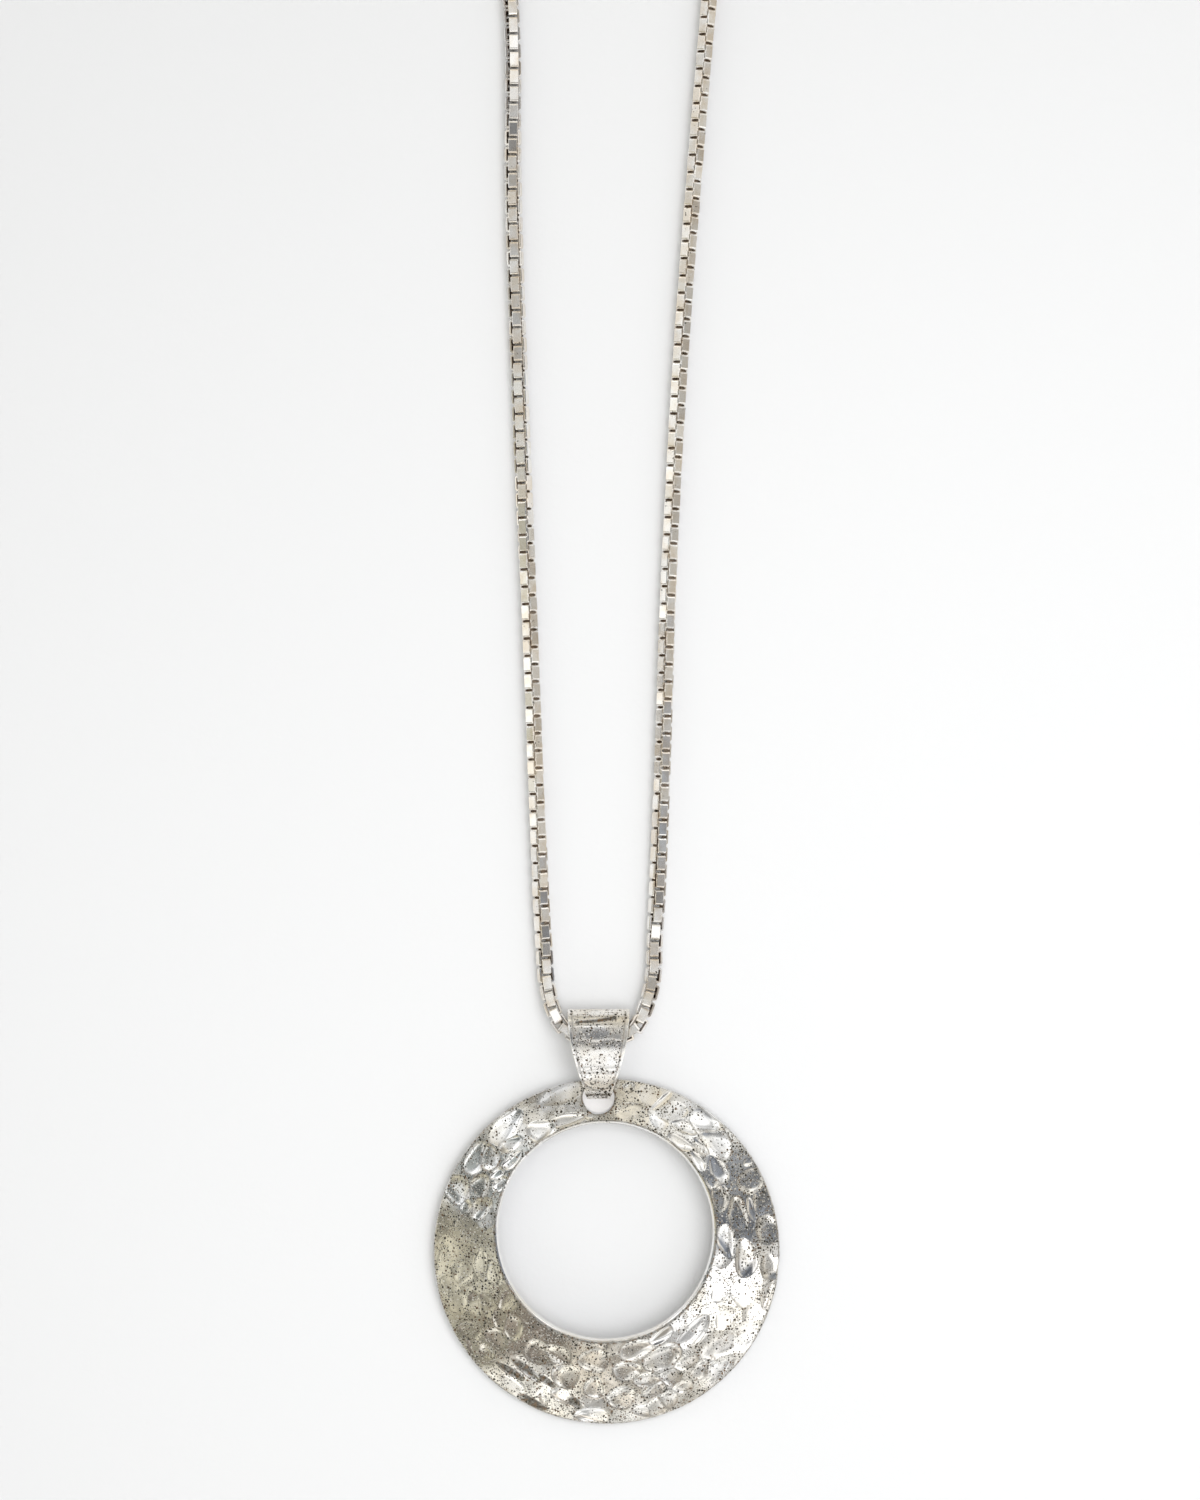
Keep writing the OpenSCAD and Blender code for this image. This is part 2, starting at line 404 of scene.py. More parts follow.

# hammer marks, charted on the worn face: angle about the disc's middle in degrees
# from +X, radius, length, width (mm), direction in degrees, depth (mm), tarnish from 0 to 1
hammerMarks = [
    # top, smooth and warm
    (106, 18.6, 5, 2.2, 196, 0.04, 0.15),
    (108, 15.9, 4.5, 1.6, 198, 0.09, 0.05),
    (69.5, 18.6, 3, 0.9, 40, 0.08, 0.1),
    (64.5, 18.2, 3, 2.4, 60, 0.05, 0.2),
    (76, 18.7, 3.4, 2.2, 166, 0.04, 0.2),
    (78, 16.3, 4.2, 1.8, 168, 0.05, 0.35),
    (67, 16, 2.4, 1.6, 157, 0.05, 0.15),
    (82.5, 19, 1.2, 1.6, 90, 0.1, 0.9),
    (97, 15.7, 1.7, 1, 8, 0.1, 0.6),
    # upper right, deep and mixed
    (54.5, 18.7, 3.8, 3, 144, 0.12, 0.05),
    (57.5, 17, 3.4, 1.6, 150, 0.1, 0.3),
    (56, 15.3, 4, 1.5, 146, 0.1, 0.05),
    (44.5, 14.9, 2.8, 1.3, 130, 0.1, 0.05),
    (47.5, 16.3, 2.4, 1.3, 130, 0.11, 0.25),
    (43, 18, 4.8, 2.9, 125, 0.14, 0.25),
    (36, 16, 3.6, 2.1, 126, 0.13, 0.2),
    (33.5, 14.7, 2.2, 1.5, 120, 0.1, 0.25),
    (26.5, 18.3, 3.4, 2.8, 40, 0.14, 0.6),
    (32, 19.3, 1.2, 0.9, 30, 0.06, 0.1),
    # right, dark and speckled
    (24, 14.3, 3.4, 1.9, 108, 0.13, 0.75),
    (27.3, 15.4, 1.5, 0.7, 115, 0.06, 0.2),
    (13.7, 15.7, 4.4, 2.2, 108, 0.13, 0.85),
    (15.5, 17.4, 2.6, 1.1, 105, 0.08, 0.2),
    (5.7, 18.6, 3.4, 2.8, 90, 0.12, 0.85),
    (18.5, 19, 3.2, 2, 100, 0.07, 0.55),
    (6.8, 13.8, 3.9, 2.2, 95, 0.13, 0.3),
    (356.7, 16, 4.3, 2.9, 100, 0.16, 0.25),
    (355.4, 18.9, 3.3, 2.2, 92, 0.12, 0.25),
    # lower right, bright and low
    (345, 19.25, 3.4, 1.3, 75, 0.09, 0.45),
    (343.7, 16.6, 4, 3.2, 70, 0.08, 0.25),
    (336, 18.4, 3.4, 2.6, 60, 0.07, 0.25),
    (331, 18.5, 3.2, 2.6, 50, 0.07, 0.25),
    (332, 15.6, 3.2, 2.4, 60, 0.07, 0.2),
    (342, 14, 3, 2, 70, 0.06, 0.2),
    (322.4, 17.5, 3.6, 2.8, 50, 0.08, 0.25),
    (316.7, 16.9, 3.2, 2.6, 45, 0.08, 0.3),
    (314.8, 13.7, 4.6, 2.4, 45, 0.09, 0.25),
    (327.6, 19, 3, 2.2, 55, 0.06, 0.25),
    (313, 19, 3.6, 2.2, 40, 0.08, 0.5),
    # bottom, deep, with bright upper edges
    (304.7, 11.7, 3.9, 1.3, 35, 0.11, 0.1),
    (283.7, 11.9, 4, 2.5, 8, 0.13, 0.2),
    (295, 14.1, 4.6, 3.4, 20, 0.16, 0.45),
    (278, 14.3, 3.6, 2.2, 5, 0.14, 0.4),
    (264.4, 12.6, 3.8, 2.8, 178, 0.14, 0.4),
    (285.6, 15.65, 3.4, 2, 12, 0.12, 0.45),
    (289.5, 17.1, 3, 2, 18, 0.12, 0.45),
    (277, 17.5, 3.4, 2.6, 8, 0.14, 0.45),
    (287.1, 19.05, 3.2, 2.4, 20, 0.12, 0.4),
    (282.8, 19, 1.6, 2.4, 80, 0.08, 0.4),
    (299.7, 18.1, 2.6, 1.5, 25, 0.1, 0.1),
    (307.2, 16, 3.6, 2, 30, 0.11, 0.4),
    (297.5, 16.5, 3, 2.2, 25, 0.11, 0.6),
    (293.2, 18.7, 2.8, 2.4, 25, 0.1, 0.5),
    (307, 19.6, 2.6, 1.6, 38, 0.08, 0.4),
    (306.9, 17.7, 2.8, 2, 35, 0.1, 0.4),
    # lower left, brown, with narrow dark strokes of painted dark reflection
    (264.4, 16.3, 2.6, 2.4, 175, 0.13, 0.35),
    (267, 19.15, 3.6, 2.2, 0, 0.13, 0.2),
    (253.4, 15.25, 3.4, 3, 165, 0.13, 0.5),
    (246, 13.2, 3.9, 1.9, 160, 0.12, 0.6),
    (253.4, 17.7, 2.6, 2, 150, 0.1, 0.2),
    (258.3, 18, 2.2, 1, 140, 0.1, 0.92),
    (245.1, 16.6, 2.2, 0.8, 145, 0.11, 0.92),
    (234.8, 16.6, 3.4, 1, 145, 0.11, 0.92),
    (231, 17.9, 3.5, 0.9, 150, 0.12, 0.95),
    (244.2, 19.6, 4.2, 1, 153, 0.12, 0.95),
    (234.4, 19.2, 3.8, 2, 140, 0.05, 0.35),
    (246.7, 18.7, 1.8, 0.8, 120, 0.08, 0.7),
    (235, 14.5, 3.4, 2.6, 145, 0.1, 0.5),
    (217.8, 14.2, 3, 2.6, 130, 0.1, 0.5),
    # left, warm, soft and speckled
    (210.4, 18.3, 2.8, 2.6, 120, 0.08, 0.45),
    (204.5, 15.1, 2.8, 2.2, 115, 0.07, 0.45),
    (198.3, 18.4, 3.2, 2.8, 108, 0.07, 0.45),
    (206.5, 12.8, 2.4, 1.8, 60, 0.07, 0.45),
    (213, 14.5, 2.6, 2, 120, 0.07, 0.5),
    (192.5, 18.6, 2.6, 2.2, 100, 0.05, 0.4),
    (202.6, 16.7, 2.4, 2, 110, 0.06, 0.45),
    (187, 14.8, 3.6, 1.6, 97, 0.05, 0.4),
    (188, 16.7, 3, 2, 98, 0.05, 0.4),
    (183.7, 18.6, 4, 2.4, 93, 0.05, 0.4),
    (192.3, 13.6, 3.6, 1.6, 102, 0.06, 0.45),
    (219.5, 16.3, 3, 2.4, 130, 0.08, 0.5),
    (219.6, 18.2, 2.4, 1.4, 130, 0.09, 0.75),
    (216, 18.9, 2.2, 1.6, 126, 0.07, 0.5),
    # upper left, bright with dark outlines
    (157, 18.7, 3.6, 3.2, 60, 0.14, 0.4),
    (160.7, 15.4, 3, 2.2, 70, 0.13, 0.45),
    (153.9, 16.6, 2.8, 2.6, 64, 0.12, 0.75),
    (148.7, 14.5, 1.8, 1.4, 40, 0.09, 0.4),
    (162.6, 17.1, 1.6, 1.4, 73, 0.08, 0.45),
    (131.8, 18.5, 5.4, 2.6, 38, 0.13, 0.1),
    (119.9, 15.9, 3.4, 2.8, 30, 0.14, 0.1),
    (132.3, 16.6, 3.2, 1.8, 33, 0.13, 0.2),
    (136.5, 15.1, 3, 1.3, 40, 0.11, 0.1),
    (141.5, 17.1, 3.2, 2.6, 50, 0.14, 0.55),
    (146.3, 18.6, 4.2, 2.4, 50, 0.13, 0.3),
    (145, 15.5, 2.2, 1, 40, 0.1, 0.2),
    (146.6, 14.5, 1.8, 1.3, 50, 0.1, 0.2),
]


def domeDrop():
    # how far the dome's centre lies below the rim it stands on
    return math.sqrt((circle["dome"] - circle["sheet"]) ** 2 - circle["outer"] ** 2)


def rowCircle(share):
    # radius and middle of the eccentric circle at this share of the way to the opening
    radius = circle["outer"] + (circle["opening"] - circle["outer"]) * share
    return radius, circle["openingUp"] * share


def shareAcross(x, y):
    # the share of the way to the opening of the eccentric circle through a point
    narrowing = circle["outer"] - circle["opening"]
    square = narrowing ** 2 - circle["openingUp"] ** 2
    half = circle["outer"] * narrowing - circle["openingUp"] * y
    rest = circle["outer"] ** 2 - x ** 2 - y ** 2
    return (half - np.sqrt(np.maximum(half ** 2 - square * rest, 0))) / square


def isOnCircle(point, radius, up, z):
    aside = abs(math.hypot(point.x, point.y - up) - radius)
    return abs(point.z - z) < near and aside < 2 * near


def layWasher():
    # the sheet before it is domed: circles bridged pair by pair into a closed flat ring
    radius, up = rowCircle(sheetRows[0][0])
    bpy.ops.mesh.primitive_circle_add(vertices=circle["around"], radius=radius, location=(0, 0, 0))
    piece = bpy.context.object
    piece.data.transform(Matrix.Translation((0, up, 0)))
    startEdit(piece)
    for share, depth, cuts in sheetRows[1:]:
        radius, up = rowCircle(share)
        bpy.ops.mesh.primitive_circle_add(vertices=circle["around"], radius=radius,
                                          location=(0, up, -depth * circle["sheet"]))
    bands = sorted(zip(sheetRows, sheetRows[1:] + sheetRows[:1]), key=lambda band: -band[0][2])
    for band in bands:  # the two wide ones first, while their circles are still bare
        ends = [(*rowCircle(share), -depth * circle["sheet"]) for share, depth, cuts in band]
        pickEdges(piece, lambda point: any(isOnCircle(point, *end) for end in ends))
        bpy.ops.mesh.bridge_edge_loops(number_cuts=band[0][2], interpolation="LINEAR")
    faceOutwards()
    return piece


def pierce(piece):
    # the small hole for the bail, drilled before doming
    bpy.ops.mesh.primitive_cylinder_add(vertices=circle["holeSides"], radius=circle["hole"],
                                        depth=4 * circle["sheet"],
                                        location=(0, circle["holeUp"], -circle["sheet"] / 2))
    drill = bpy.context.object
    useModifier(piece, "BOOLEAN", operation="DIFFERENCE", solver="EXACT", object=drill)
    bpy.data.objects.remove(drill)


def realPlace(x, y):
    # where a mark charted at x, y (mm) really lies: the dome is nearer to the camera than the
    # surface the chart is scaled on, so marks look further from the picture's middle
    height = math.sqrt((circle["dome"] / mm) ** 2 - x ** 2 - y ** 2) - domeDrop() / mm
    height += (y + circle["outer"] / mm) * circle["leaf"] / circle["outer"] / 2
    pull = height * mm / shot["height"]
    aimX = shot["middle"][0] / mm
    aimY = (shot["middle"][1] - circle["middleY"]) / mm
    return x + (aimX - x) * pull, y + (aimY - y) * pull


def markList():
    # the charted marks in the disc's own turn, then shallow seeded ones to fill between
    dice = random.Random(circle["seed"])
    turn = math.radians(circle["turn"])
    marks = []
    for angle, radius, length, width, lie, depth, tarnish in hammerMarks:
        bearing = math.radians(angle)
        x, y = realPlace(radius * math.cos(bearing), radius * math.sin(bearing))
        marks.append((
            x * math.cos(turn) + y * math.sin(turn), y * math.cos(turn) - x * math.sin(turn),
            length / 2, width / 2, math.radians(lie) - turn, depth, tarnish, True,
        ))
    count, rows, within, aside = blows["fillers"]
    long, wide, turned, deep, dirty = blows["filler"]
    for number in range(count):
        radius, up = rowCircle((number % rows + dice.uniform(*within)) / rows)
        bearing = 2 * math.pi * number / count + dice.uniform(*aside)
        marks.append((
            radius / mm * math.cos(bearing), radius / mm * math.sin(bearing) + up / mm,
            dice.uniform(*long), dice.uniform(*wide), bearing + math.pi / 2 + dice.uniform(*turned),
            dice.uniform(*deep), dice.uniform(*dirty), False,
        ))
    return marks


def hammer(x, y):
    # depth (mm) below the smooth dome at points in mm, how near each is to a ridge, its tarnish,
    # the depth of the mark it is in, and how far it is inside a black stroke of painted dark
    # reflection
    dice = random.Random(circle["seed"] + 1)
    lowest = np.zeros(len(x))
    second = np.full(len(x), 1.0)
    tarnish = np.full(len(x), blows["ground"])
    bite = np.zeros(len(x))
    stroke = np.zeros(len(x))
    for middleX, middleY, halfLong, halfWide, lie, depth, tarnishAndShade, charted in markList():
        along = ((x - middleX) * math.cos(lie) + (y - middleY) * math.sin(lie)) / halfLong
        across = ((y - middleY) * math.cos(lie) - (x - middleX) * math.sin(lie)) / halfWide
        bearing = np.arctan2(across, along)
        wobble = 1
        for waves, swing in blows["wobble"]:
            wobble = wobble + swing * np.sin(waves * bearing + dice.uniform(0, blows["phase"]))
        lean = (x - middleX) * dice.uniform(-1, 1) + (y - middleY) * dice.uniform(-1, 1)
        reach = np.hypot(along, across) * wobble
        section = reach ** blows["bowl"] - 1 + blows["lean"] * lean
        dent = depth * blows["bite"] * section
        deeper = dent < lowest
        if charted:
            second = np.where(deeper, lowest, np.minimum(second, dent))
        tarnish = np.where(deeper, tarnishAndShade, tarnish)
        bite = np.where(deeper, depth, bite)
        # painted dark reflection: narrow marks with the most tarnish are painted black
        if tarnishAndShade > blows["stroke"]:
            black = (blows["strokeReach"] - reach) / blows["strokeFade"]
            stroke = np.maximum(stroke, np.clip(black, 0, 1))
        lowest = np.where(deeper, dent, lowest)
    return lowest, np.abs(second - lowest), tarnish, bite, stroke


# where dirt and painted shade lie on the disc
dirtAndShade = {
    "ridge": (1.3, 0.04),  # the line along a ridge: strength, and height (mm) it fades over
    "deep": (0.07, 0.04),  # depth (mm) of marks that have such lines, and how softly they start
    "growth": (0.35, 2),  # these lines' strength on clean silver, and its growth with tarnish
    # strength of the strokes' painted dark reflection
    "stroke": 1.4,
    "hollow": 0.05,  # depth (mm) where the ground between marks ends
    "ground": 0.35,  # how much more tarnish lies on that ground, and less in the marks
    "floor": 0.08,
    "hole": (2.2, 0.12 * mm),  # painted shade round the small hole, a dark line for its shadowed edge: strength, and width it fades over
    # dark lines by the opening and by the rim, the rim's one a painted shade of its shadowed edge:
    # share of the way across, half width, strength
    "borders": [(0.972, 0.008, 0.9), (0.012, 0.002, 0.6)],
    "lip": (0.985, -0.3),  # share of the way across where the bright lip starts, its tarnish
    "underside": 0.5,
    # shares of the upper face from which it has these lines and its own tarnish, and up to which
    # the lip goes
    "faces": (0.9, 0.5, 0.99),
}


def domeAndHammer(piece):
    # the flat ring is bent to the dome, the marks pressed in, and the masks for dirt stored
    points = readPoints(piece.data)
    x, y = points[:, 0], points[:, 1]
    depth = np.clip(-points[:, 2], 0, circle["sheet"])
    share = np.clip(shareAcross(x, y), 0, 1)
    # the opening's wall stands square to the sheet
    narrower = 1 - depth / circle["dome"] * share ** circle["wallPower"]
    x, y = x * narrower, y * narrower
    drop = domeDrop()
    z = np.sqrt((circle["dome"] - depth) ** 2 - x ** 2 - y ** 2) - drop
    dent, ridge, tarnish, bite, stroke = hammer(x / mm, y / mm)
    upper = (1 - depth / circle["sheet"]) ** 2
    push = dent * mm * upper / circle["dome"]
    domed = np.stack([x + x * push, y + y * push, z + (z + drop) * push], axis=1)
    writePoints(piece.data, domed)
    strength, fall = dirtAndShade["ridge"]
    least, softly = dirtAndShade["deep"]
    clean, growth = dirtAndShade["growth"]
    seam = np.clip(strength - ridge / fall, 0, 1) * np.clip((bite - least) / softly, 0, 1) * upper
    seam = seam * np.clip(clean + growth * tarnish, 0, 1)
    # the black strokes, a painted dark reflection
    seam = np.maximum(seam, dirtAndShade["stroke"] * stroke * upper)
    hollow = np.clip(-dent / dirtAndShade["hollow"], 0, 1)
    tarnish = tarnish + dirtAndShade["ground"] * (1 - hollow) - dirtAndShade["floor"] * hollow
    # painted shade: a dark line round the small hole, for the shadow of its edge
    toHole = np.abs(np.hypot(x, y - circle["holeUp"]) - circle["hole"])
    strength, fall = dirtAndShade["hole"]
    seam = np.maximum(seam, np.clip(strength - toHole / fall, 0, 1))
    # dark lines along the opening and the rim; the rim's line is painted shade
    edges = sum((np.abs(share - at) < half) * strength for at, half, strength in dirtAndShade["borders"])
    lined, ownDirt, lipEnd = dirtAndShade["faces"]
    seam = np.maximum(seam, edges * (upper > lined))
    tarnish = np.where(upper > ownDirt, tarnish, dirtAndShade["underside"])
    lip, bright = dirtAndShade["lip"]
    tarnish = np.where((share > lip) & (upper < lipEnd), bright, tarnish)
    storeMask(piece.data, "tarnish", tarnish)
    # the dark lines: along ridges, the painted shade by the hole and the rim, and the strokes'
    # painted dark reflection
    storeMask(piece.data, "seam", seam)


def placeDisc(piece):
    lean = Matrix.Rotation(math.asin(circle["leaf"] / (2 * circle["outer"])), 4, "X")
    toRim = Matrix.Translation((0, circle["outer"], 0))
    turn = Matrix.Rotation(math.radians(circle["turn"]), 4, "Z")
    toMiddle = Matrix.Translation((0, circle["middleY"], 0))
    piece.data.transform(toMiddle @ turn @ toRim.inverted() @ lean @ toRim)


discLook = {
    "bright": (0.96, 0.95, 0.93, 1),
    "warm": (0.88, 0.84, 0.76, 1),
    "spread": 180,
    "pitting": 0.17,
    "grain": 3000,
    "clouds": 600,
    "film": 0.4,
    "filmColour": (0.36, 0.34, 0.28, 1),
    "seam": 0.85,
    "unbroken": 0.45,
    "chalk": 0.6,
    "gloss": 0.1,
    "dull": 0.08,
    "ripple": 1500,
    "rippleDepth": 0.12,
    "bump": 0.22,
    "bumpDepth": 0.05 * mm,
}

disc = layWasher()
pierce(disc)
domeAndHammer(disc)
placeDisc(disc)
smoothShade(disc, circle["smooth"])
handOver(disc, "hammered_disc", makeSilver("hammeredSilver", discLook),
         "pendant_circle")
print("disc hammered:", len(disc.data.vertices), "vertices")


# The folded bail

bail = {
    "middleX": -0.93 * mm,
    "top": -79.94 * mm,
    "width": 7.2 * mm,
    "thick": 0.8 * mm,
    "topFold": (-82.24 * mm, 2.3 * mm, 1.9 * mm),  # y, z and mid-wall radius of the fold at the top
    "tipFold": (-88.34 * mm, 2.0 * mm, 1.6 * mm),
    "frontArc": (-84.147 * mm, -9.243 * mm, 13.6 * mm),
    "edgeArc": 26 * mm,  # the arcs that taper both sides
    "edgeUp": 0.7 * mm,
    "across": 56,
    "rows": (44, 56, 70, 44),  # of the back leaf, top fold, front and tip fold
    "bevel": 0.12 * mm,
    "bevelSteps": 3,
    "bevelAngle": 50,
    "smooth": 40,
}


def halfWidth(y):
    # half the bail's width at this y
    arc = bail["edgeArc"]
    reach = math.sqrt(arc ** 2 - bail["edgeUp"] ** 2) - bail["width"] / 2
    return np.sqrt(arc ** 2 - (y - bail["top"] - bail["edgeUp"]) ** 2) - reach


def foldStrip():
    # the back leaf, then the top fold, front and tip fold spun on from its end row
    topY, topZ, topR = bail["topFold"]
    tipY, tipZ, tipR = bail["tipFold"]
    frontY, frontZ, frontR = bail["frontArc"]
    wall = bail["thick"] / 2
    leafRows, topRows, frontRows, tipRows = bail["rows"]
    bpy.ops.mesh.primitive_grid_add(x_subdivisions=bail["across"], y_subdivisions=leafRows,
                                    size=1, location=(0, 0, 0))
    piece = bpy.context.object
    stretch = Matrix.Diagonal((bail["width"], topY - tipY, 1, 1))
    piece.data.transform(Matrix.Translation((0, (topY + tipY) / 2, wall)) @ stretch)
    topEnd = math.atan2(topZ - frontZ, topY - frontY)
    tipStart = math.atan2(tipZ - frontZ, tipY - frontY)
    arcs = [
        (topY, topZ, topEnd + math.pi / 2, topRows),
        (frontY, frontZ, tipStart - topEnd, frontRows),
        (tipY, tipZ, 3 * math.pi / 2 - tipStart, tipRows),
    ]
    startEdit(piece)
    endY, endZ = topY, wall
    for middleY, middleZ, angle, steps in arcs:
        pickEdges(piece, lambda point: abs(point.y - endY) < near and abs(point.z - endZ) < near)
        bpy.ops.mesh.spin(steps=steps, angle=angle, center=(0, middleY, middleZ), axis=(-1, 0, 0))
        away = complex(endY - middleY, endZ - middleZ) * complex(math.cos(angle), math.sin(angle))
        endY, endZ = middleY + away.real, middleZ + away.imag
    pickAll()
    bpy.ops.mesh.remove_doubles(threshold=near)
    faceOutwards()
    return piece


def taperStrip(piece):
    points = readPoints(piece.data)
    points[:, 0] *= halfWidth(points[:, 1]) / (bail["width"] / 2)
    points[:, 0] += bail["middleX"]
    writePoints(piece.data, points)


wearAndShade = {
    # heights above the paper from which the front, the curved line and the tip's painted shade and
    # dirt show
    "heights": (3.2 * mm, 2 * mm, 0.9 * mm),
    # the scored line: y, slope, height and number of its waves, left and right end, half width
    # and the growth of that, depth
    "score": (-81.13 * mm, 0.12, 0.05 * mm, 1.3, -2.75 * mm, 2.05 * mm, 0.17 * mm, 0.02, 0.09 * mm),
    # the two soft creases: y, half width, strength; height and number of their waves, depth
    "upper": (-83.6 * mm, 0.3 * mm, 1.0),
    "lower": (-86.9 * mm, 0.22 * mm, 0.6),
    "waves": (0.12 * mm, 1.9, 0.03 * mm),
    # the curved line above the tip: y, bend, half width and strength of its crease and its dirt
    "curve": (-89.25 * mm, 0.3 / mm, 0.2 * mm, 0.8, 0.12 * mm, 0.7),
    # the bright borders: start, softness, half width and strength of the line along them
    "border": (0.86, 0.1, 0.03, 0.6),
    # tarnish of the face, the creases, less on the borders, more low down, at the tip (painted
    # shade where it curves down into the hole, with more pits) and on the top fold, and where that
    # starts
    "tarnish": (0.4, 0.4, 0.3, 0.25, 0.3, 0.1, -82.7 * mm),
    "dirtAndShadeFade": 0.3 * mm,
    "cleanest": -0.3,
    "scoreDirt": 1.5,
}


def bell(away, half):
    return np.exp(-(away / half) ** 2)


def wearAndShadeStrip(piece):
    # the scored line across the front, soft creases, and masks for dirt, the tip's painted shade
    # and the bright borders
    points = readPoints(piece.data)
    x, y, z = points[:, 0], points[:, 1], points[:, 2]
    front, low, tip = wearAndShade["heights"]
    outer = z > front
    aside = x - bail["middleX"]
    edgewise = np.abs(aside) / halfWidth(y)
    start, softly, lineHalf, lineShare = wearAndShade["border"]
    border = np.clip((edgewise - start) / softly, 0, 1)

    scoreY, slope, swing, waves, left, right, half, growth, scoreDepth = wearAndShade["score"]
    scoreY = scoreY + slope * aside + swing * np.sin(waves * x / mm)
    score = bell(y - scoreY, half + growth * aside) * outer * (aside > left) * (aside < right)

    swing, waves, creaseDepth = wearAndShade["waves"]
    wave = np.sin(waves * x / mm + 1) * swing
    upperY, half, share = wearAndShade["upper"]
    crease = share * bell(y - upperY - wave, half) * outer * (1 - border)
    lowerY, half, share = wearAndShade["lower"]
    crease += share * bell(y - lowerY + wave, half) * outer * (1 - border)
    curveY, bend, half, share, dirtHalf, dirtShare = wearAndShade["curve"]
    curve = curveY + bend * aside ** 2
    crease += share * bell(y - curve, half) * (z > low) * (1 - border)
    points[:, 2] -= scoreDepth * score + creaseDepth * crease
    writePoints(piece.data, points)

    face, creased, less, lowDirt, tipShadeAndDirt, topDirt, topY = wearAndShade["tarnish"]
    # painted shade: more film and pits at the tip, where it curves down into the hole
    atTip = np.clip((curve - y) / wearAndShade["dirtAndShadeFade"], 0, 1) * (z > tip)
    lowDown = np.clip((lowerY - y) / wearAndShade["dirtAndShadeFade"], 0, 1) * (z > tip)
    tarnishAndShade = (face * (1 - border) + creased * crease - less * border
            + lowDirt * lowDown + tipShadeAndDirt * atTip + topDirt * (y > topY))
    storeMask(piece.data, "tarnish", np.clip(tarnishAndShade, wearAndShade["cleanest"], 1))
    rule = lineShare * bell(edgewise - start, lineHalf) * outer
    rule = np.maximum(rule, dirtShare * bell(y - curve, dirtHalf) * (z > low))
    storeMask(piece.data, "seam", np.clip(np.maximum(wearAndShade["scoreDirt"] * score, rule), 0, 1))


bailLook = {
    "bright": (0.95, 0.94, 0.92, 1),
    "warm": (0.86, 0.82, 0.74, 1),
    "spread": 260,
    "pitting": 0.1,
    "grain": 2700,
    "clouds": 900,
    "film": 0.15,
    "filmColour": (0.44, 0.36, 0.27, 1),
    "seam": 1.0,
    "unbroken": 0.75,
    "chalk": 0.5,
    "gloss": 0.15,
    "dull": 0.12,
    "ripple": 1400,
    "rippleDepth": 0.12,
    "bump": 0.3,
    "bumpDepth": 0.05 * mm,
}

strip = foldStrip()
taperStrip(strip)
useModifier(strip, "SOLIDIFY", thickness=bail["thick"], offset=0.0)
useModifier(strip, "BEVEL", width=bail["bevel"], segments=bail["bevelSteps"],
            limit_method="ANGLE", angle_limit=math.radians(bail["bevelAngle"]))
wearAndShadeStrip(strip)
smoothShade(strip, bail["smooth"])
handOver(strip, "folded_bail", makeSilver("bailSilver", bailLook), "bail")
print("bail folded:", len(strip.data.vertices), "vertices")


# The box chain

chain = {
    "pitch": 1.0 * mm,
    "linkLong": 1.8 * mm,
    "linkWide": 1.8 * mm,
    "stripWide": 1.0 * mm,
    "stripThick": 0.28 * mm,
    "corner": 0.1 * mm,  # cut across the corners of the loop's middle line
    "chamfer": 0.06 * mm,
    "clear": 0.01 * mm,  # kept free under each link
    "curveSteps": 60,  # points between two stops of the route
    "restZ": 0.96 * mm,
    "wobble": 4.0,  # degrees of play from link to link
    "seed": 5,
}

# the chain's middle line from one end of the clasp to the other, as in the construction (mm)
route = [
    (-5.5, 126.4, 1.6), (-10, 125.3, 1.2), (-15, 121.4, 0.96), (-19, 113.2, 0.96),
    (-20.3, 103, 0.96), (-19, 87, 0.96), (-15.9, 70, 0.96), (-12.7, 52, 0.96),
    (-11, 35, 0.96), (-10.8, 15, 0.96), (-9.9, -12, 0.96), (-8.9, -35, 0.96),
    (-7.9, -60, 0.96), (-7.3, -72, 0.96), (-6.7, -78.2, 1.2), (-6, -80.5, 1.7),
    (-5, -82.1, 2), (-3.6, -82.9, 1.9), (-2.3, -83.2, 1.9), (-0.8, -83.4, 1.9),
    (0.8, -83.2, 1.9), (2.1, -82.9, 1.9), (3.3, -82.1, 2), (4.2, -80.5, 1.7),
    (5, -78.2, 1.2), (5.6, -71, 0.96), (6.3, -56, 0.96), (7.2, -30, 0.96),
    (8.6, -4, 0.96), (10.1, 16, 0.96), (11.7, 35, 0.96), (13.3, 52, 0.96),
    (15.9, 70, 0.96), (19, 87, 0.96), (20.3, 103, 0.96), (19, 113.2, 0.96),
    (15, 121.4, 0.96), (10, 125.3, 1.2), (5.5, 126.4, 1.6),
]

# how far the plates of even and odd links are rolled from facing up: strand, y (mm), degrees
rolls = [
    ("left", 29.4, -9, -89),
    ("left", 14.9, 6, -74),
    ("left", -0.2, 6, -75),
    ("left", -15.8, 14, -62),
    ("left", -31.5, 34, -38),
    ("left", -46, 36, -37),
    ("left", -61, 42, -31),
    ("left", -72.1, 58, -24),
    ("left", -77.9, 80, -5),
    ("right", -77.9, 105, 0),
    ("right", -70.9, 102, 5),
    ("right", -68.6, 117, 20),
    ("right", -61, 124, 22),
    ("right", -53.5, 134, 28),
    ("right", -23.4, 140, 33),
    ("right", -21, 144, 36),
    ("right", 36.9, 144, 36),
]


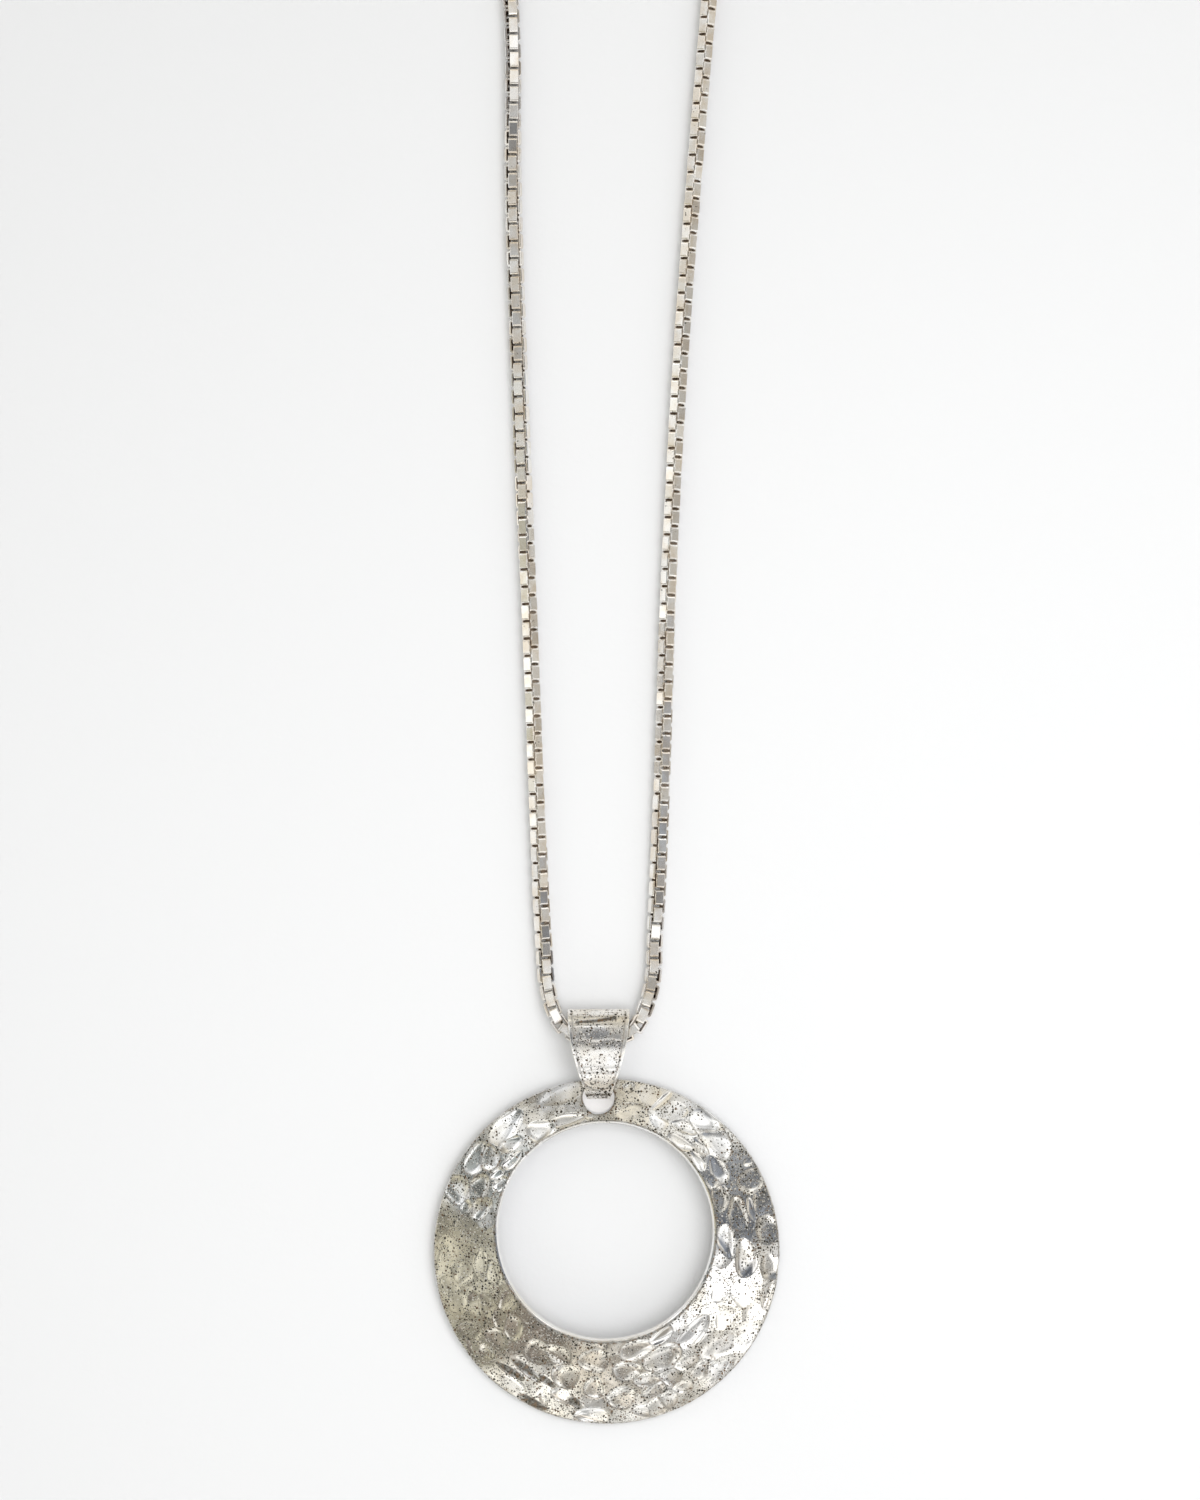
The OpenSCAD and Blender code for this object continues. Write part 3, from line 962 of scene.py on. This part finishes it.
def smoothRoute():
    # close points along the smooth curve through the route, and their distances along it
    stops = [Vector(stop) * mm for stop in route]
    spans = [(b - a).length for a, b in zip(stops, stops[1:])]
    slopes = [(b - a) / span for a, b, span in zip(stops, stops[1:], spans)]
    headings = [slopes[0]]
    for i in range(1, len(stops) - 1):
        before, after = spans[i - 1], spans[i]
        headings.append((slopes[i - 1] * after + slopes[i] * before) / (before + after))
    headings.append(slopes[-1])
    line = []
    for i, span in enumerate(spans):
        for k in range(chain["curveSteps"]):
            t = k / chain["curveSteps"]
            leaving = 2 * t ** 3 - 3 * t ** 2 + 1
            arriving = 3 * t ** 2 - 2 * t ** 3
            line.append(leaving * stops[i] + (t ** 3 - 2 * t ** 2 + t) * span * headings[i]
                        + arriving * stops[i + 1] + (t ** 3 - t ** 2) * span * headings[i + 1])
    line.append(stops[-1])
    line = np.array(line)
    line[:, 2] = np.maximum(line[:, 2], chain["restZ"])
    lengths = np.concatenate([[0], np.cumsum(np.linalg.norm(np.diff(line, axis=0), axis=1))])
    return line, lengths


def makeLink():
    # one link: a rounded rectangle, drawn out to a strip, thickened, its outer edges eased
    bpy.ops.mesh.primitive_plane_add(size=1, location=(0, 0, 0))
    link = bpy.context.object
    long = chain["linkLong"] - chain["stripThick"]
    wide = chain["linkWide"] - chain["stripThick"]
    sink = Matrix.Translation((0, 0, -chain["stripWide"] / 2))
    link.data.transform(sink @ Matrix.Diagonal((long, wide, 1, 1)))
    startEdit(link)
    pickAll()
    bpy.ops.mesh.bevel(offset=chain["corner"], segments=1, affect="VERTICES")
    pickAll()
    bpy.ops.mesh.delete(type="ONLY_FACE")
    pickAll()
    bpy.ops.mesh.extrude_edges_move(TRANSFORM_OT_translate={"value": (0, 0, chain["stripWide"])})
    faceOutwards()
    useModifier(link, "SOLIDIFY", thickness=chain["stripThick"], offset=0.0, use_even_offset=True)
    edgeZ = chain["stripWide"] / 2 - near
    reachX, reachY = long / 2 + near, wide / 2 + near

    def outside(point):
        # past the loop's middle line
        return abs(point.x) > reachX or abs(point.y) > reachY

    startEdit(link)
    pickEdges(link, lambda point: abs(point.z) > edgeZ and outside(point))
    bpy.ops.mesh.bevel(offset=chain["chamfer"], segments=1, affect="EDGES")
    leaveEdit()
    # the inside of each loop, stored as tarnish: oxide pits and a painted shade go there
    inner = [0.0 if outside(vertex.co) else 1.0 for vertex in link.data.vertices]
    storeMask(link.data, "tarnish", inner)
    return link


def layChain():
    # copies of one link along the route, each a quarter turn from the last, rolled as charted
    line, lengths = smoothRoute()
    total = lengths[-1]
    count = round(total / chain["pitch"])
    step = total / count
    lowest = lengths[np.argmin(line[:, 1])]

    def at(distance):
        return Vector([np.interp(distance, lengths, line[:, axis]) for axis in range(3)])

    marks = []
    for strand, y, even, odd in rolls:
        onStrand = lengths < lowest if strand == "left" else lengths > lowest
        closest = np.argmin(np.where(onStrand, abs(line[:, 1] - y * mm), np.inf))
        marks.append((lengths[closest], even, odd))
    where, evenRolls, oddRolls = zip(*marks)

    dice = random.Random(chain["seed"])
    model = makeLink()
    links = []
    for number in range(count):
        distance = (number + 0.5) * step
        ahead = (at(distance + step / 2) - at(distance - step / 2)).normalized()
        side = ahead.cross(Vector((0, 0, 1))).normalized()
        up = side.cross(ahead)
        roll = np.interp(distance, where, oddRolls if number % 2 else evenRolls)
        roll = math.radians(roll + dice.uniform(-chain["wobble"], chain["wobble"]))
        face = up * math.cos(roll) + side * math.sin(roll)  # the way one side plate faces
        axis = ahead.cross(face)
        middle = at(distance)
        # the link's lowest corner, at either end of its chamfer, stays above the surface
        across, along = chain["linkWide"] / 2, chain["stripWide"] / 2
        reach = max(abs(face.z) * across + abs(axis.z) * (along - chain["chamfer"]),
                    abs(face.z) * (across - chain["chamfer"]) + abs(axis.z) * along)
        middle.z = max(middle.z, reach) + chain["clear"]
        pose = Matrix((ahead, face, axis)).transposed().to_4x4()
        pose.translation = middle
        copy = model.copy()
        copy.data = model.data.copy()
        copy.data.transform(pose)
        storeMask(copy.data, "seam", [dice.random()] * len(copy.data.vertices))
        bpy.context.scene.collection.objects.link(copy)
        links.append(copy)
    bpy.data.objects.remove(model)
    pickPiece(links[0])
    for link in links:
        link.select_set(True)
    bpy.ops.object.join()
    return links[0], count


chainLook = {
    "bright": (0.95, 0.935, 0.90, 1),
    "warm": (0.86, 0.79, 0.69, 1),
    "inside": (0.27, 0.19, 0.13, 1),  # colour inside the links: oxide, with painted shade
    "insideFade": (0.5, 0.95),
    "spread": 420.0,
    "grain": 3600.0,
    "clouds": 900.0,
    # inside the links, from link to link, and everywhere
    "pitting": (0.6, 0.25, -0.3),
    "shade": (0.85, 0.15, 0.0),
    "rough": (0.2, 0.08, 0.16),
    "ripple": 1100.0,
    "bump": 0.07,
    "bumpDepth": 0.05 * mm,
}


def makeChainSilver():
    # bright plates, each link a little different, with oxide and painted shade inside and where
    # links rub
    material, tree, shader, place = newMaterial("chainSilver")
    inner = fade(tree, readMask(tree, "tarnish"), *chainLook["insideFade"])
    own = readMask(tree, "seam")

    def mixed(shares, clamp=False):
        inside, each, always = shares
        both = maths(tree, "ADD", maths(tree, "MULTIPLY", inner, inside),
                     maths(tree, "MULTIPLY", own, each))
        return maths(tree, "ADD", both, always, clamp)

    tone, pits = layGroups(tree, place, chainLook, mixed(chainLook["pitting"]))
    # painted shade inside the links, with their oxide, a little different from link to link
    shade = mixed(chainLook["shade"], True)
    shaded = blendColours(tree, shade, tone.outputs["Tone"], chainLook["inside"])
    base = blendColours(tree, pits.outputs["Pits"], shaded, oxide)
    tree.links.new(base, shader.inputs["Base Color"])
    tree.links.new(mixed(chainLook["rough"]), shader.inputs["Roughness"])
    emboss(tree, shader, chainLook, noise(tree, place, chainLook["ripple"], 2.0, 0.5))
    return material


boxChain, linkCount = layChain()
handOver(boxChain, "box_chain", makeChainSilver(), "chain")
print("chain laid:", linkCount, "links")


# The barrel clasp, past the picture's edge

clasp = {
    "long": 11 * mm,
    "radius": 1.6 * mm,
    "middle": (0, 126.4 * mm, 1.6 * mm),
    "around": 64,
    # where the grooves start and end
    "rings": [-3.6 * mm, -3.3 * mm, -0.15 * mm, 0.15 * mm, 3.3 * mm, 3.6 * mm],
    "groove": 0.16 * mm,
    "grooveDirt": 0.2 * mm,  # how far dirt reaches from a groove's middle
    "round": 0.6 * mm,
    "roundSteps": 5,
    "tarnish": (0.25, 0.5),  # everywhere, and more in the grooves
    "smooth": 35,
}


def turnClasp():
    # a barrel with a seam round its middle and a groove by each end cap
    bpy.ops.mesh.primitive_cylinder_add(vertices=clasp["around"], radius=clasp["radius"],
                                        depth=clasp["long"], rotation=(0, math.pi / 2, 0),
                                        location=(0, 0, 0))
    piece = bpy.context.object
    bpy.ops.object.transform_apply(rotation=True)
    middles = [(a + b) / 2 for a, b in zip(clasp["rings"][::2], clasp["rings"][1::2])]
    startEdit(piece)
    for x in clasp["rings"] + middles:
        pickAll()
        bpy.ops.mesh.bisect(plane_co=(x, 0, 0), plane_no=(1, 0, 0))
    thin = 1 - clasp["groove"] / clasp["radius"]
    for x in middles:
        pickEdges(piece, lambda point: abs(point.x - x) < near)
        bpy.ops.transform.resize(value=(1, thin, thin), center_override=(x, 0, 0))
    pickEdges(piece, lambda point: abs(point.x) > clasp["long"] / 2 - near)
    bpy.ops.mesh.bevel(offset=clasp["round"], segments=clasp["roundSteps"], affect="EDGES")
    leaveEdit()
    piece.data.transform(Matrix.Translation(clasp["middle"]))
    x = readPoints(piece.data)[:, 0]
    toGroove = np.min([np.abs(x - middle) for middle in middles], axis=0)
    grooves = np.clip(1 - toGroove / clasp["grooveDirt"], 0, 1)
    everywhere, more = clasp["tarnish"]
    storeMask(piece.data, "tarnish", everywhere + more * grooves)
    storeMask(piece.data, "seam", grooves)
    smoothShade(piece, clasp["smooth"])
    return piece


claspLook = dict(bailLook, pitting=0.0, film=0.3, gloss=0.14)
barrel = turnClasp()
handOver(barrel, "barrel_clasp", makeSilver("claspSilver", claspLook), "clasp")
print("clasp turned")


# Paper, light and surroundings

studio = {
    "horizon": (1.15, 1.15, 1.14),
    # the room's own variations: scale, the noise's values they lie between, their least and most
    "uneven": (5.5, 0.35, 0.65, 0.36, 1.5),
    # soft patches of the room that the silver mirrors: azimuth and angle from straight up in
    # degrees, half width of the patch and of its faded edge, colour
    "patches": [
        ("keyGlow", -30, 42, 24, 12, (0.90, 0.90, 0.91)),
        ("leftWall", 207, 52, 26, 11, (0.60, 0.575, 0.47)),
        ("lowerLeft", 238, 42, 10, 5, (0.32, 0.28, 0.24)),
        ("lowerLeftGlow", 248, 60, 11, 5, (1.20, 1.18, 1.12)),
        ("rightWall", 0, 76, 16, 8, (0.66, 0.63, 0.58)),
        ("upperLeft", 144, 43, 20, 3, (1.18, 1.21, 1.25)),
        ("upperLeftShade", 156, 41, 8, 6, (0.36, 0.39, 0.39)),
        ("topWall", 88, 54, 28, 8, (0.81, 0.77, 0.68)),
        ("upperRight", 49, 44, 11, 5, (1.00, 1.01, 1.02)),
        ("rightShade", 12, 44, 12, 6, (0.22, 0.24, 0.28)),
        ("bridgeGlow", 109, 37, 8, 3, (1.05, 1.06, 1.07)),
        ("belowShade", 274, 42, 12, 5, (0.80, 0.75, 0.68)),
        ("belowGlow", 270, 20, 13, 5, (1.25, 1.25, 1.25)),
        ("lens", 90, 5, 9, 4, (0.19, 0.195, 0.205)),
    ],
    # two round lights aimed at the disc: azimuth and angle from straight up in degrees,
    # distance, size (m), power (W), and whether the silver mirrors it
    "lights": [
        ("softKey", -30, 44, 0.5, 0.22, 0.12, True),
        ("paperFill", 14, 14.5, 0.289, 0.25, 0.47, False),
    ],
}

# one narrow light on the paper under the small hole
holeLight = {
    "height": 0.16,
    "wide": 5 * mm,  # its beam where it reaches the paper
    "blend": 0.15,
    "size": 0.5 * mm,
    "power": 0.4,
    "colour": (1.0, 0.93, 0.88),
}

paperLook = {
    "size": 4,
    "surface": {"Metallic": 0.0, "Roughness": 0.9, "Specular IOR Level": 0.2,
                "Base Color": (0.778, 0.785, 0.800, 1)},
    "tooth": 900.0,
    "bump": 0.25,
    "bumpDepth": 0.1 * mm,
}


def towards(azimuth, tilt):
    azimuth, tilt = math.radians(azimuth), math.radians(tilt)
    aside = math.sin(tilt)
    return Vector((math.cos(azimuth) * aside, math.sin(azimuth) * aside, math.cos(tilt)))


def makeSurroundings():
    # soft patches laid over an even room, then made uneven
    world = bpy.data.worlds.new("softRoom")
    bpy.context.scene.world = world
    world.use_nodes = True
    tree = world.node_tree
    place = tree.nodes.new("ShaderNodeTexCoord").outputs["Generated"]
    colour = (*studio["horizon"], 1)
    for name, azimuth, tilt, half, edge, patch in studio["patches"]:
        aim = addNode(tree, "VectorMath", {"operation": "DOT_PRODUCT", "label": name},
                      at0=place, at1=towards(azimuth, tilt)).outputs["Value"]
        inside = fade(tree, aim, math.cos(math.radians(half + edge)), math.cos(math.radians(half)))
        colour = blendColours(tree, inside, colour, (*patch, 1))
    scale, low, high, least, most = studio["uneven"]
    swing = fade(tree, noise(tree, place, scale), low, high, least, most)
    colour = vectors(tree, "SCALE", at0=colour, Scale=swing)
    background = tree.nodes["Background"]
    tree.links.new(colour, background.inputs["Color"])


def hangLight(name, azimuth, tilt, away, size, power, mirrored):
    toLight = towards(azimuth, tilt)
    middle = Vector((0, circle["middleY"], 0))
    bpy.ops.object.light_add(type="AREA", location=middle + toLight * away)
    light = bpy.context.object
    light.name = name
    light.data.shape = "DISK"
    light.data.size = size
    light.data.energy = power
    light.rotation_euler = toLight.to_track_quat("Z", "Y").to_euler()
    light.visible_camera = False
    light.visible_glossy = mirrored


def lightHole():
    # straight above the small hole, and not mirrored by the silver
    turn = math.radians(circle["turn"])
    hole = Vector((-math.sin(turn), math.cos(turn), 0)) * circle["holeUp"]
    above = Vector((0, circle["middleY"], holeLight["height"]))
    bpy.ops.object.light_add(type="SPOT", location=hole + above)
    light = bpy.context.object
    light.name = "holeLight"
    light.data.spot_size = 2 * math.atan(holeLight["wide"] / 2 / holeLight["height"])
    light.data.spot_blend = holeLight["blend"]
    light.data.shadow_soft_size = holeLight["size"]
    light.data.energy = holeLight["power"]
    light.data.color = holeLight["colour"]
    light.visible_glossy = False


def layPaper():
    bpy.ops.mesh.primitive_plane_add(size=paperLook["size"], location=(0, 0, 0))
    paper = bpy.context.object
    paper.name = "paper"
    material, tree, shader, place = newMaterial("palePaper")
    for name, value in paperLook["surface"].items():
        shader.inputs[name].default_value = value
    emboss(tree, shader, paperLook, noise(tree, place, paperLook["tooth"], 4.0))
    paper.data.materials.append(material)


makeSurroundings()
for lamp in studio["lights"]:
    hangLight(*lamp)
lightHole()
layPaper()
bpy.context.scene.view_settings.view_transform = "Standard"
print("paper and light set")
